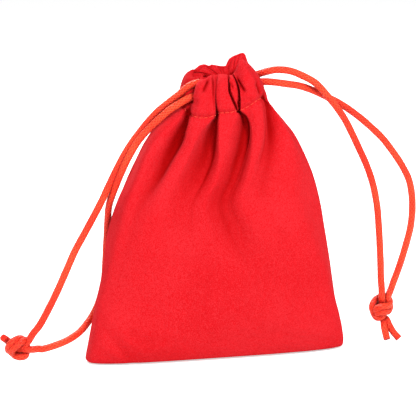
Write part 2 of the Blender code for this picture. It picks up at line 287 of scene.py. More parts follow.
def curves_through(knots, steps):
    """Centripetal Catmull-Rom curves along axis 1 of knots[curve, knot, xyz].

    steps[j] is the number of samples from knot j up to knot j + 1.
    """
    cells = knots.shape[1] - 1
    chord = np.diff(knots, axis=1)
    gap = (np.linalg.norm(chord, axis=2) ** 0.5 + 1e-4)[..., None]
    slope = np.zeros_like(knots)
    slope[:, 0] = chord[:, 0] / gap[:, 0]
    slope[:, -1] = chord[:, -1] / gap[:, -1]
    for j in range(1, cells):
        before, after = gap[:, j - 1], gap[:, j]
        slope[:, j] = ((chord[:, j - 1] / before * after + chord[:, j] / after * before)
                       / (before + after))
    samples = []
    for j in range(cells):
        for step in range(steps[j]):
            f = step / steps[j]
            f2, f3 = f * f, f ** 3
            samples.append((2 * f3 - 3 * f2 + 1) * knots[:, j]
                           + (f3 - 2 * f2 + f) * gap[:, j] * slope[:, j]
                           + (-2 * f3 + 3 * f2) * knots[:, j + 1]
                           + (f3 - f2) * gap[:, j] * slope[:, j + 1])
    samples.append(knots[:, -1])
    return np.stack(samples, axis=1)


def refine(cage, steps_across, steps_down):
    """Dense grid through a cage of control points."""
    wide = curves_through(cage, steps_across)
    return curves_through(wide.transpose(1, 0, 2), steps_down).transpose(1, 0, 2)


def grid_normals(grid, side):
    """Unit normals that point out of the pouch."""
    normals = np.cross(np.gradient(grid, axis=1), np.gradient(grid, axis=0)) * side
    normals /= np.linalg.norm(normals, axis=2, keepdims=True) + 1e-12
    return normals


def smooth_grid(grid, times, across_only=False):
    """Each time, move every point half way to the average of its neighbours."""
    for _ in range(times):
        average = np.zeros_like(grid)
        average[:, 1:-1] = 0.5 * (grid[:, :-2] + grid[:, 2:])
        average[:, 0] = grid[:, 0]
        average[:, -1] = grid[:, -1]
        if not across_only:
            average[1:-1] += 0.5 * (grid[:-2] + grid[2:])
            average[0] += grid[0]
            average[-1] += grid[-1]
            average *= 0.5
        grid = grid * 0.5 + average * 0.5
    return grid


def fractal_noise(point, scale, seed):
    """Two octaves of noise."""
    value, weight = 0.0, 1.0
    for _ in range(2):
        value += weight * noise.noise(Vector((
            point[0] * scale + seed, point[1] * scale - seed, point[2] * scale + 3.1 * seed)))
        weight *= 0.5
        scale *= 2.1
    return value


# ================================================================ mesh helpers
def link_object(name, data):
    ob = bpy.data.objects.new(name, data)
    bpy.context.scene.collection.objects.link(ob)
    return ob


def mesh_object(name, points, faces, materials, face_materials=None):
    """Smooth-shaded mesh from points in millimetres."""
    mesh = bpy.data.meshes.new(name)
    mesh.from_pydata((np.array(points) * MM).tolist(), [], faces)
    mesh.update()
    ob = link_object(name, mesh)
    for material in materials:
        mesh.materials.append(material)
    if face_materials is not None:
        mesh.polygons.foreach_set("material_index", np.asarray(face_materials, np.int32))
    mesh.shade_smooth()
    return ob


def face_outward(ob):
    """Turn faces outward. UVs are set before this, as turning reorders corners."""
    bm = bmesh.new()
    bm.from_mesh(ob.data)
    bmesh.ops.recalc_face_normals(bm, faces=bm.faces)
    bm.to_mesh(ob.data)
    bm.free()


# ============================================================= outline of the bag
# height, left edge, right edge, half depth
OUTLINE = np.array([
    (0.0, -49.6, 49.8, 9.6), (1.2, -50.0, 50.2, 10.8), (4.0, -49.4, 50.0, 12.2),
    (10.0, -48.2, 48.8, 13.4), (20.0, -46.3, 47.0, 14.2), (30.0, -43.6, 45.6, 14.4),
    (40.0, -42.3, 43.7, 14.3), (50.0, -40.9, 42.0, 14.1), (60.0, -37.3, 39.9, 13.9),
    (70.0, -32.5, 36.3, 13.3), (80.0, -27.4, 32.0, 12.5), (88.0, -21.6, 26.4, 11.8),
    (93.0, -16.2, 21.6, 11.1)])


def outline(z):
    """Left edge, right edge and half depth of the pouch at height z."""
    return [np.interp(z, OUTLINE[:, 0], OUTLINE[:, k]) for k in (1, 2, 3)]


def even_spread(places):
    """Places -1..1 across the pouch for columns at 0..1 across the cloth."""
    return -np.cos(math.pi * (0.5 * places + 0.5 * np.linspace(0, 1, len(places))))


def lens_depth(x, power):
    """Depth 0..1 of the pouch's cross-section at place x, -1..1."""
    return np.clip(1 - np.abs(x) ** power, 0, 1) ** (1 / power)


# ================================================================= front wall
# Lines from the left seam to the right: name, place across the cloth (0..1), and
# points (x, y, z) from the rim down to a height of about 60.
FRONT_LINES = [
    ("seam_left", 0.00, [
        (-5, -1, 104.9), (-5.4, -1.2, 102.8), (-6, -1.2, 99.8), (-7.7, -1.4, 97.5),
        (-12.1, -0.6, 95.5), (-16.4, 0, 93.3), (-20.2, 0, 89.8), (-23.9, 0, 86.2),
        (-28.1, 0, 78.9), (-31.9, 0, 70.9), (-37.2, 0, 60.3)]),
    ("left_panel", 0.07, [
        (-5.5, -2.4, 105.8), (-6.2, -3, 103), (-6.8, -3.2, 100.1), (-8.7, -3.4, 97.3),
        (-12.5, -4.4, 93.9), (-15.3, -5, 90.7), (-18.8, -5.7, 88), (-23, -6.5, 84.3),
        (-26.5, -7.3, 79.4), (-30.4, -7.9, 71.6), (-34.6, -8.3, 61.8)]),
    ("left_valley", 0.14, [
        (-6.2, -3.6, 106.6), (-6.9, -4.2, 103.2), (-7.7, -4.6, 100.3), (-9.1, -4.8, 96.9),
        (-10.9, -3.7, 93), (-11.5, -3.6, 89.5), (-12.6, -3.9, 86.8), (-14.3, -5, 82.6),
        (-18.2, -7, 76.8), (-23.4, -9, 69.4), (-29.9, -10.4, 61.3)]),
    ("pleat1_edge", 0.19, [
        (-5.6, -4.8, 105.2), (-8, -7.2, 103.8), (-9.3, -8.4, 100.2), (-10.2, -8.6, 95.9),
        (-11, -8.4, 92.4), (-11.8, -8.6, 90.4), (-12.6, -8.9, 87.6), (-13.8, -9.4, 83.3),
        (-17.2, -10.4, 77.3), (-21.9, -11.6, 69.7), (-26.2, -12.6, 61.2)]),
    ("pleat1_crest", 0.24, [
        (-4.1, -5.6, 106.1), (-6.3, -9, 104.3), (-7.2, -10.7, 100.8), (-8, -10.9, 95.7),
        (-8.3, -10.5, 91.7), (-8.9, -10.6, 89.2), (-9.9, -10.9, 86.7), (-11.5, -11.5, 82.5),
        (-14.3, -12.3, 76.5), (-18.1, -13, 69.4), (-22, -13.7, 61.6)]),
    ("pleat1_right", 0.29, [
        (-2.7, -5.2, 106.5), (-4.4, -8.4, 104.4), (-4.6, -9.9, 100.6), (-5, -10.1, 95.5),
        (-5.1, -9.7, 91.5), (-5.7, -9.7, 89.3), (-7, -9.9, 86.8), (-8.9, -10.6, 82.2),
        (-11.3, -11.6, 76.2), (-15.1, -12.8, 69.2), (-19.1, -13.7, 61.1)]),
    ("crease_a", 0.33, [
        (-2.3, -6, 106.6), (-3.3, -9, 104.2), (-3.4, -10, 100.9), (-2.9, -10, 95.8),
        (-2.5, -9.9, 92.3), (-3.8, -10.2, 90), (-5, -10.5, 87.2), (-6.6, -11, 82.5),
        (-8.6, -12, 76.5), (-12.3, -13.2, 69.2), (-16.5, -14, 61)]),
    ("small_ridge", 0.36, [
        (-1.8, -6, 106.6), (-2.6, -9, 104.2), (-2.9, -10, 100.9), (-2.6, -10, 96),
        (-2.2, -9.9, 92.5), (-3.1, -10.2, 90.2), (-3.8, -10.5, 87.1), (-4.9, -11, 82.5),
        (-6.6, -12, 76.5), (-10.4, -13.2, 69.1), (-14.9, -14, 61)]),
    ("crease_b", 0.38, [
        (-1.3, -6, 106.5), (-2.2, -9, 104.2), (-2.6, -10, 100.7), (-2.3, -10, 96.2),
        (-1.9, -9.9, 92.7), (-2.4, -10.2, 90.3), (-2.8, -10.5, 87.5), (-3.5, -11, 82.4),
        (-5.1, -12, 76.4), (-8.7, -13.2, 69), (-13.4, -14, 60.9)]),
    ("pleat2_edge", 0.42, [
        (-0.5, -5.6, 106.6), (-1.4, -8.2, 104.1), (-2.1, -9.6, 100.5), (-2, -10, 96.1),
        (-1.5, -9.9, 93), (-1.8, -10.1, 90.5), (-2.1, -10.4, 87.4), (-2.8, -11.2, 82.4),
        (-4.2, -12.2, 76.4), (-7.5, -13.3, 69), (-11.9, -13.9, 60.8)]),
    ("pleat2_crest", 0.46, [
        (0.9, -6.6, 106.8), (0.1, -9.6, 104.4), (-0.4, -10.9, 100.6), (0.1, -11.1, 96.2),
        (1.5, -10.9, 93.3), (1.3, -10.9, 91), (0.7, -11.2, 88.2), (-0.4, -11.8, 83.2),
        (-1.9, -12.6, 76.7), (-4.6, -13.7, 68.9), (-8.4, -14.2, 60.7)]),
    ("pleat2_right", 0.50, [
        (2.7, -6.2, 106.5), (2, -8.8, 104.4), (1.7, -9.8, 101.1), (2.8, -10.2, 97.7),
        (4.9, -10, 93.5), (5.1, -9.9, 91.1), (4.5, -10.2, 88.3), (2.3, -11.2, 83.3),
        (1, -12.2, 76.9), (-1.2, -13.5, 69.1), (-5.2, -14.2, 60.5)]),
    ("crease_c", 0.54, [
        (3.4, -6, 106.4), (2.7, -9, 104.6), (2.4, -10, 101.5), (3.6, -10, 98),
        (5.9, -9.9, 93.7), (6.7, -10.2, 91.9), (6.6, -10.5, 88.6), (5, -11, 83.6),
        (3.3, -12, 77.2), (1.2, -13.2, 69.3), (-2.8, -14, 60.4)]),
    ("leaf_ridge", 0.58, [
        (4.2, -6, 106.4), (3.9, -9, 104.6), (4.2, -10, 101.4), (5, -10, 97.9),
        (6.4, -9.9, 93.7), (7.9, -10.2, 91.8), (8.1, -10.5, 88.9), (7.1, -11, 83.9),
        (5.4, -12, 77.5), (2.8, -13.2, 69.4), (-1.1, -14, 60.3)]),
    ("crease_d", 0.61, [
        (4.9, -6, 106.5), (5.4, -9, 104.5), (6, -10, 101.4), (6.2, -10, 97.9),
        (6.9, -9.9, 93.9), (8.9, -10.2, 91.8), (9.9, -10.5, 89.2), (9.9, -11, 84.1),
        (8.2, -12, 77.7), (5.1, -13.2, 69.5), (1.4, -14, 60.2)]),
    ("pleat4_edge", 0.65, [
        (5.7, -5.4, 107), (6.6, -8, 104.7), (7.1, -8.9, 101.6), (7.3, -9.2, 98.1),
        (7.9, -9.3, 94), (9.8, -9.3, 92), (10.9, -9.4, 89), (10.9, -10.2, 84),
        (9.3, -11.4, 77.7), (6.2, -13, 69.4), (2.6, -14.1, 60.1)]),
    ("pleat4_crest", 0.71, [
        (6.6, -6.4, 108.7), (8.5, -9.4, 106.1), (9.5, -10.6, 102.8), (10.2, -10.9, 99.5),
        (11, -10.8, 96), (12.3, -10.8, 93.2), (13.1, -10.9, 89.5), (13.3, -11.5, 84.5),
        (12, -12.5, 78.2), (9.1, -13.6, 69.8), (5.6, -14.4, 60.3)]),
    ("pleat4_right", 0.77, [
        (8.1, -5.6, 111.5), (10.4, -8.4, 107.8), (12.6, -9, 103.6), (13.9, -8.9, 100.4),
        (14.9, -8.5, 97.7), (16, -8.4, 94.6), (16.4, -8.8, 90.6), (16.4, -9.8, 84.1),
        (15.1, -10.9, 78), (12.1, -13, 69.6), (8.9, -14, 60.2)]),
    ("right_fold", 0.84, [
        (10.6, -2.8, 111.1), (12.8, -4.4, 107.9), (14.9, -5, 104), (16.3, -4.8, 100.4),
        (17.2, -3.6, 97.2), (18.3, -4, 94.3), (18.7, -5.4, 90), (18.7, -7.8, 84),
        (17.4, -9.9, 77.7), (15.5, -11.8, 69.6), (15.6, -12.8, 59.6)]),
    ("right_panel", 0.92, [
        (12.5, -0.4, 109.2), (14.9, -1, 106), (16.9, -1.2, 102.3), (18, -1.4, 99.1),
        (18.1, -4, 96.7), (20.2, -4.8, 94.1), (23, -5.7, 89.9), (25.9, -6.6, 84.3),
        (27.4, -7.7, 77.5), (28.9, -8.8, 68.8), (29.9, -9.7, 58.7)]),
    ("seam_right", 1.00, [
        (13.8, 2.4, 108.4), (16.5, 2.4, 105.1), (18, 1.6, 101.6), (18.6, 0.6, 98.4),
        (19.4, 0, 95.7), (21.7, 0, 93.3), (25.2, 0, 88.9), (29.7, 0, 83.7),
        (33.7, 0, 76.5), (37.9, 0, 66.8), (40.9, 0, 55.8)]),
]
FRONT_NAMES = [name for name, _, _ in FRONT_LINES]

# Rows below the lines: height, and how far the columns have become evenly spread.
FRONT_LOW_ROWS = [(47.0, 0.30), (34.0, 0.62), (22.0, 0.86), (12.0, 1.0), (6.0, 1.0),
                  (2.6, 1.0), (0.9, 1.0), (0.3, 1.0)]

# cells between neighbouring columns and rows of the front cage
FRONT_STEPS_ACROSS = [12] * 2 + [9] * (len(FRONT_LINES) - 5) + [12] * 2
FRONT_STEPS_DOWN = [8, 8, 9, 10, 8, 8, 8, 9, 9, 10, 10, 10, 9, 8, 7, 5, 4, 3]

# the folds are pressed in along this line, per mm of depth
PRESS = np.array([0.231, 1.0, -0.218])
# lines lifted to the surface over the pleats, before the folds are pressed in
LIFTED = ("crease_a", "small_ridge", "crease_b", "crease_c", "leaf_ridge", "crease_d")
# y of these lines from the hem line down
DEPTHS_BELOW_HEM = {
    "left_panel": [-4.4, -5.0, -5.7, -6.5, -7.3, -7.9, -8.3],
    "left_valley": [-3.7, -3.6, -3.9, -5.0, -7.0, -9.0, -10.4],
    "right_fold": [-3.6, -4.0, -5.4, -7.8, -9.9, -11.8, -12.8],
    "right_panel": [-4.0, -4.8, -5.7, -6.6, -7.7, -8.8, -9.7],
}
# Folds: line, then per cage row the depth, the width to its left and to its right.
# Depths end in 0; the last width holds for all rows below.
FOLDS = [
    ("left_valley", [0, 0, 0, 0, 0.4, 1.0, 1.3, 1.3, 1.0, 0.6, 0.3, 0],
     [2, 2, 2, 2, 2.6, 3.4, 4.5, 6, 7, 8, 9],
     [0.9, 0.9, 0.9, 0.9, 0.9, 0.9, 1.0, 1.6, 3, 5, 7]),
    ("crease_a", [0.7, 1.1, 1.0, 0.5, 0], [0.8], [0.7]),
    ("crease_b", [0.6, 0.9, 0.8, 0.6, 0], [0.6], [0.5]),
    ("pleat2_edge", [0.6, 1.2, 1.6, 2.5, 4.4, 5.3, 5.4, 5.1, 4.4, 3.1, 1.6, 0.5, 0.1, 0],
     [0.6, 0.7, 0.9, 1.1, 1.5, 3.6, 6.0, 8.2, 10.5, 12.5, 14, 16],
     [0.5, 0.5, 0.5, 0.5, 0.5, 0.6, 0.8, 1.3, 2.6, 5.5, 9, 12]),
    ("crease_c", [1.2, 2.3, 2.6, 2.4, 2.2, 1.0, 0],
     [0.8, 0.7, 0.65, 0.7, 1.0, 1.4],
     [0.6, 0.55, 0.5, 0.6, 1.0, 1.4]),
    ("crease_d", [1.0, 2.0, 2.4, 2.9, 4.2, 4.3, 4.1, 4.1, 3.9, 3.5, 2.9, 1.6, 0.4, 0],
     [0.6, 0.6, 0.6, 0.6, 1.7, 4.2, 7.0, 9.0, 9.0, 9.5, 11.5, 14],
     [0.6, 0.6, 0.6, 0.6, 0.6, 0.6, 0.8, 1.3, 2.4, 4.2, 6.5, 12]),
    ("pleat4_right", [0.2, 0.6, 0.8, 0.9, 1.2, 1.5, 1.6, 1.5, 1.1, 0.6, 0.2, 0],
     [0.7, 0.7, 0.7, 0.7, 0.7, 0.7, 0.8, 1.2, 2.2, 4, 6],
     [3, 3, 3, 3, 3.6, 4.6, 6, 8, 10, 12, 14]),
]
# recesses that the lines already have: these only add painted shade
RECESS_SHADE = [
    ("left_valley", [0, 0, 0, 0.5, 3.2, 4.4, 4.3, 3.0, 1.6, 0.9, 0.3, 0],
     [3, 3, 3, 3, 3.5, 4, 5.5, 8, 10, 12, 12],
     [3.0, 3.0, 3.0, 3.6, 5.0, 5.8, 5.4, 4.6, 4.4, 5, 7]),
    ("left_panel", [2.0, 2.4, 2.8, 2.8, 1.0, 0], [4, 4, 4, 4, 3], [3, 3, 3, 3, 3]),
    ("right_fold", [1.0, 1.3, 1.4, 1.5, 3.0, 3.7, 3.3, 2.5, 1.7, 0.8, 0.2, 0],
     [3.0, 3.0, 3.0, 3.6, 5.2, 5.2, 4.6, 4.0, 4, 6, 8],
     [4, 4, 4, 3.5, 3.6, 4.2, 5.4, 7, 8, 10, 12]),
]
# Wrinkles: one end (x, z), other end (x, z), width, height out of the cloth.
FRONT_WRINKLES = [
    ((2.6, 58), (-12, 16), 6.0, -0.9), ((-9, 60), (-24, 24), 8.0, 0.5),
    ((15, 60), (3, 20), 8.0, 0.45), ((25, 62), (16, 26), 7.0, -0.4),
    ((-45.5, 15), (-34, 2), 1.3, -0.45), ((-42, 17), (-31, 6), 1.3, 0.38),
    ((-46, 9), (-38, 3), 1.0, 0.35), ((-36, 14), (-26, 8), 1.5, -0.3),
    ((-37, 8), (-29, 12), 1.2, 0.3), ((-30, 5), (-20, 7), 1.6, 0.25),
    ((-30, 70), (-38, 44), 4.0, -0.3), ((32, 70), (38, 40), 4.5, -0.35),
    ((40, 30), (46, 8), 3.5, 0.3), ((10, 14), (30, 5), 3.0, -0.25),
    ((20, 12), (44, 7), 1.6, 0.25), ((-10, 9), (20, 6), 1.8, -0.2),
    ((22.4, 92.4), (31.6, 78.6), 0.7, -0.7), ((21.4, 91.0), (30.2, 77.8), 0.9, 0.4)]
# Short creases in the casing, sharper than the wrinkles; the last number is a depth.
PINCHES = [
    ((-4.5, 105.3), (-7.3, 101.2), 0.42, 1.5), ((6.1, 105.5), (8.5, 100.8), 0.36, 1.3),
    ((3.1, 104.8), (4.1, 101.8), 0.28, 0.9), ((-9.2, 98.6), (-9.9, 96.4), 0.5, 0.5),
    ((12.6, 103.4), (14.6, 99.6), 0.6, 0.7), ((9.6, 98.2), (11.6, 96.9), 0.5, 0.5)]

# side is FRONT or BACK; pressed tells how deep each point lies in a fold, plus depth that only
# sets painted shade
Wall = namedtuple("Wall", "name side grid normals stitch_row pressed")


def front_cage():
    """Smooth surface over the pleats' crests; the folds are pressed in later."""
    cage = np.array([points for _, _, points in FRONT_LINES], float).transpose(1, 0, 2)
    crests = [c for c, name in enumerate(FRONT_NAMES) if name not in LIFTED]
    for r, row in enumerate(cage):
        # place across the wall, seen along the pressing line
        across = row[:, 0] - PRESS[0] * row[:, 1]
        for c, name in enumerate(FRONT_NAMES):
            y = row[c, 1]
            if name in LIFTED:
                order = np.argsort(across[crests])
                y = np.interp(across[c], across[crests][order], row[crests, 1][order])
                if name == "leaf_ridge":
                    y += 0.5
            elif name in DEPTHS_BELOW_HEM and r >= HEM_LINE:
                y = DEPTHS_BELOW_HEM[name][r - HEM_LINE]
            row[c] = row[c] + PRESS * (y - row[c, 1])

    # below the lines the shape of their last row fades into the outline's
    left, right, depth = outline(60.0)
    last = cage[-1]
    last_x = np.clip((last[:, 0] - (left + right) / 2) / ((right - left) / 2), -1, 1)
    last_y = last[:, 1] / -depth
    even_x = even_spread(np.array([place for _, place, _ in FRONT_LINES]))
    low_rows = []
    for z, evenness in FRONT_LOW_ROWS:
        left, right, depth = outline(z)
        x = last_x * (1 - evenness) + even_x * evenness
        lens = lens_depth(x, 2.0 + 1.5 * smoothstep(26.0, 4.0, z))
        keep = 1 - smoothstep(0.0, 0.9, evenness)
        y = depth * (lens * (1 - keep) + last_y * keep)
        if z < 0.5:
            y = y - 0.9 * lens      # the bottom row turns under
        low_rows.append(np.stack([(left + right) / 2 + x * (right - left) / 2, -y,
                                  np.full_like(x, z)], axis=1))
    return np.concatenate([cage, np.array(low_rows)], axis=0)


def fold_depth(grid, folds, crisp=True):
    """How far each point of the front grid is pressed in by the folds.

    A crisp fold is sharp on its narrower side.
    """
    cage_rows = np.arange(len(FRONT_STEPS_DOWN) + 1)
    row_starts = np.concatenate([[0], np.cumsum(FRONT_STEPS_DOWN)])
    rows = np.interp(np.arange(grid.shape[0]), row_starts, cage_rows)

    def by_row(values, below):
        """Column of values per grid row from those per cage row, then below."""
        padded = (list(values) + [below] * len(cage_rows))[:len(cage_rows)]
        return np.interp(rows, cage_rows, padded)[:, None]

    arc = distance_along(grid, axis=1)
    total = np.zeros(grid.shape[:2])
    for name, depths, left_widths, right_widths in folds:
        column = sum(FRONT_STEPS_ACROSS[:FRONT_NAMES.index(name)])
        left = by_row(left_widths, left_widths[-1])
        right = by_row(right_widths, right_widths[-1])
        offset = arc - arc[:, column][:, None]
        t = np.clip(np.where(offset < 0, -offset / left, offset / right), 0, 1)
        profile = 1 - smoothstep(0.22, 1.0, t)
        if crisp:
            profile = np.where((left > right) == (offset < 0), profile, (1 - t) ** 1.5)
        # the fourth power lets the deepest fold win, with a soft change-over
        total += (by_row(depths, 0.0) * profile) ** 4
    return total ** 0.25


def line_field(grid, start, end, width, height, taper=0.25):
    """A soft ridge (height > 0) or groove along a segment in the XZ plane."""
    dx, dz = end[0] - start[0], end[1] - start[1]
    t = ((grid[..., 0] - start[0]) * dx + (grid[..., 2] - start[1]) * dz) / (dx * dx + dz * dz)
    off_x = grid[..., 0] - (start[0] + dx * t)
    off_z = grid[..., 2] - (start[1] + dz * t)
    ends = smoothstep(-taper, taper, t) * (1 - smoothstep(1 - taper, 1 + taper, t))
    return height * ends * np.exp(-(off_x ** 2 + off_z ** 2) / (2 * width * width))


def add_wrinkles(grid, normals, stitch_row, seed, wrinkles):
    """Moves the cloth along normals: wrinkles, casing puff, hem groove and puckers."""
    columns = grid.shape[1]
    height = np.zeros(grid.shape[:2])
    for wrinkle in wrinkles:
        height += line_field(grid, *wrinkle)
    # distance from the hem stitches along the cloth, positive below them
    down = distance_along(grid)
    casing = down[stitch_row][None, :]
    below = down - casing
    above = np.clip(-below, 0, None)
    puff = 0.75 * np.sin(math.pi * np.clip(above / casing, 0, 1)) ** 0.7
    height += np.where(below < 0, puff, 0)
    height += -0.75 * np.exp(-np.abs(below / np.where(below < 0, 0.9, 0.7)) ** 1.5)
    # puckers, 2.7 mm apart but uneven
    arc = distance_along(grid[stitch_row])
    drift = np.array([1.6 * noise.noise(Vector((a * 0.21, seed, 0))) for a in arc])
    pucker = np.sin(arc * TURN / 2.7 + drift * 4)[None, :]
    height += 0.12 * pucker * np.exp(-np.abs(below / 1.9) ** 1.5)
    # broad unevenness, fading out at the bottom
    uneven = np.array([[0.36 * fractal_noise(point, 0.055, seed)
                        + 0.09 * fractal_noise(point, 0.26, seed + 5)
                        for point in row] for row in grid])
    height += uneven * smoothstep(0.0, 6.0, grid[..., 2])
    # the seams stay in place
    from_edge = np.minimum(np.arange(columns), columns - 1 - np.arange(columns))
    height = height * smoothstep(0, 8, from_edge[None, :].astype(float))
    return grid + normals * height[..., None]


def make_front():
    smooth = refine(front_cage(), FRONT_STEPS_ACROSS, FRONT_STEPS_DOWN)
    folded = fold_depth(smooth, FOLDS)
    grid = smooth + folded[..., None] * PRESS
    normals = grid_normals(smooth_grid(smooth, 12), FRONT)
    pinched = np.zeros(folded.shape)
    for pinch in PINCHES:
        pinched += line_field(grid, *pinch, taper=0.18)
    grid = grid - normals * pinched[..., None]
    recess_shade = fold_depth(smooth, RECESS_SHADE, crisp=False)
    stitch_row = sum(FRONT_STEPS_DOWN[:HEM_LINE])
    grid = add_wrinkles(grid, normals, stitch_row, 11.3, FRONT_WRINKLES)
    # the last field is the fold depth, with the recesses and extra pinch depth added only for
    # painted shade
    return Wall("front", FRONT, grid * SCALE, normals, stitch_row,
                np.maximum(folded, recess_shade) + 1.5 * pinched)


# ================================================================== back wall
# place across the cloth, (x, y) at the casing, (x, y) at the rim, rim height
BACK_LINES = [
    (0.00, (-6.0, -2.2), (-4.6, -1.6), 105.0),
    (0.06, (-10.0, -3.2), (-7.2, -2.6), 105.2),
    (0.12, (-12.0, -1.6), (-9.3, -1.4), 105.4),
    (0.18, (-12.0, 2.2), (-9.2, 1.2), 106.2),
    (0.24, (-10.8, 6.0), (-8.2, 3.8), 107.5),
    (0.29, (-9.4, 5.6), (-6.9, 3.0), 107.6),
    (0.34, (-7.6, 8.8), (-5.2, 5.0), 108.8),
    (0.40, (-4.6, 10.0), (-3.0, 6.0), 109.1),
    (0.44, (-2.7, 7.4), (-1.7, 4.2), 108.8),
    (0.48, (-0.8, 9.4), (-0.4, 5.6), 109.0),
    (0.53, (1.6, 10.2), (1.6, 6.2), 108.6),
    (0.57, (3.6, 7.0), (3.2, 4.0), 108.5),
    (0.61, (5.0, 9.0), (5.0, 4.8), 108.6),
    (0.64, (6.4, 10.2), (6.3, 5.6), 110.9),
    (0.70, (9.0, 10.6), (9.2, 6.0), 112.2),
    (0.76, (12.0, 9.8), (11.9, 4.8), 112.8),
    (0.82, (13.6, 7.2), (12.9, 3.4), 110.0),
    (0.88, (16.0, 7.0), (13.7, 3.2), 107.8),
    (0.94, (17.9, 4.4), (15.0, 2.2), 106.4),
    (1.00, (15.6, 2.8), (13.2, 1.4), 105.8),
]
# Rows below the casing: height, how evenly the columns are spread, how much is
# left of the casing's folds.
BACK_LOW_ROWS = [
    (93.4, 0.00, 1.0), (90.0, 0.12, 1.0), (86.0, 0.25, 0.95), (81.0, 0.38, 0.82),
    (74.0, 0.52, 0.60), (66.0, 0.68, 0.36), (57.0, 0.82, 0.16), (47.0, 0.92, 0.05),
    (34.0, 1.0, 0.0), (22.0, 1.0, 0.0), (12.0, 1.0, 0.0), (6.0, 1.0, 0.0),
    (2.6, 1.0, 0.0), (0.9, 1.0, 0.0), (0.3, 1.0, 0.0)]
BACK_STEPS_ACROSS = [8] * (len(BACK_LINES) - 1)
BACK_STEPS_DOWN = [7, 6, 6, 7, 6, 6, 7, 8, 8, 8, 8, 9, 9, 8, 6, 5, 4, 3]
BACK_WRINKLES = [
    ((3, 84), (-6, 40), 5.0, -0.6), ((-16, 76), (-24, 36), 5.5, 0.6),
    ((18, 78), (24, 34), 5.5, 0.6), ((26, 70), (34, 36), 3.5, -0.5),
    ((-26, 60), (-34, 26), 3.5, -0.5), ((30, 16), (46, 5), 1.8, -0.3),
    ((-44, 12), (-30, 4), 1.8, -0.3), ((2, 30), (14, 8), 5, 0.4)]
CASING_DEPTH = 10.4             # half depth of the casing, without its folds


def back_cage():
    places, casing, rim, rim_z = (np.array(values) for values in zip(*BACK_LINES))
    casing_x, casing_y = casing.T

    def at_height(x, y, z):
        return np.stack([x, y, np.full_like(x, z)], axis=1)

    top = np.column_stack([rim, rim_z])
    low_x, low_y = casing_x * 1.07, casing_y.copy()
    low_x[-3:] = (18.6, 19.9, 19.0)          # out to the top of the right seam
    low_y[-1] = 1.0
    rows = [top,
            0.55 * at_height(casing_x, casing_y, 104.0) + 0.45 * top,
            at_height(casing_x, casing_y, 101.5),
            at_height(low_x, low_y, 97.5)]

    half_width = (casing_x.max() - casing_x.min()) / 2
    middle = (casing_x.max() + casing_x.min()) / 2
    casing_place = (casing_x - middle) / half_width
    # how far the casing's folds lie from its even envelope
    envelope = np.sqrt(np.clip(1 - np.clip(np.abs(casing_place), 0, 1) ** 3.0, 0, 1))
    fold = casing_y - CASING_DEPTH * envelope
    fold[:3] = 0
    fold[-2:] = 0
    fold = np.clip(fold, -5, 1)
    # the edge lines leave their tucked place and come out to the seam
    out_x = casing_place.copy()
    out_x[:4] = (-1.0, -0.97, -0.93, -0.84)
    out_x[-3:] = (0.86, 0.97, 1.0)
    even_x = even_spread(places)
    for z, evenness, folded in BACK_LOW_ROWS:
        left, right, depth = outline(z)
        x = out_x * (1 - evenness) + even_x * evenness
        lens = lens_depth(x, 3.0 * (1 - evenness) + 2.0 * evenness)
        y = depth * lens + fold * folded * np.sqrt(np.clip(1 - x * x, 0, 1)) ** 0.5
        y = np.maximum(y, 0.0)
        y[[0, -1]] = 0.2 if z > 92 else 0.0
        if z < 0.5:
            y = y - 0.9 * lens      # the bottom row turns under
        rows.append(at_height((left + right) / 2 + x * (right - left) / 2, y, z))
    return np.stack(rows)


def make_back():
    grid = refine(back_cage(), BACK_STEPS_ACROSS, BACK_STEPS_DOWN)
    normals = grid_normals(smooth_grid(grid, 60, across_only=True), BACK)
    stitch_row = sum(BACK_STEPS_DOWN[:HEM_LINE])
    # painted shade on the wrap at the left end of the casing, where it turns away from the
    # light
    row = np.arange(grid.shape[0])[:, None]
    place = np.arange(grid.shape[1])[None, :] / (grid.shape[1] - 1)
    painted_wrap_shade = (1.7 * (1 - smoothstep(0.16, 0.34, place))
               * (1 - smoothstep(stitch_row, stitch_row + 14, row)))
    grid = add_wrinkles(grid, normals, stitch_row, 3.7, BACK_WRINKLES)
    return Wall("back", BACK, grid * SCALE, normals, stitch_row, painted_wrap_shade)


# ================================================================ cloth shells
def painted_shade_of(wall):
    """Painted shade, 0 on open cloth, 1 deep in a fold: how far it lies behind its
    surroundings.
    """
    grid, normals = wall.grid, wall.normals
    far = smooth_grid(grid, 50, across_only=True)
    near = smooth_grid(grid, 8, across_only=True)
    painted_shade = np.clip(((far - grid) * normals).sum(2) / 1.1, 0, 1) * 0.40
    painted_shade += np.clip(((near - grid) * normals).sum(2) / 0.22, 0, 1) * 0.30
    # depth of a fully dark fold: 3.1 in the casing, 5.1 below it
    row = np.arange(grid.shape[0])[:, None]
    full = 3.1 + 2.0 * smoothstep(wall.stitch_row - 4, wall.stitch_row + 10, row)
    painted_shade += 0.74 * np.clip(wall.pressed / full, 0, 1) ** 1.15
    return smooth_grid(np.clip(painted_shade, 0, 1)[..., None], 2)[..., 0]


def rim_roll(outer, normals):
    """Rows that roll from the outer rim over its top to the inside face."""
    inside = outer[0] - normals[0] * RIM_THICKNESS
    up = outer[0] - outer[3]
    up /= np.linalg.norm(up, axis=1, keepdims=True) + 1e-9
    middle, radius = (outer[0] + inside) / 2, (outer[0] - inside) / 2
    height = np.linalg.norm(radius, axis=1, keepdims=True)
    return [middle + radius * math.cos(angle) + up * height * math.sin(angle)
            for angle in np.linspace(0.0, math.pi, 7)[1:]]


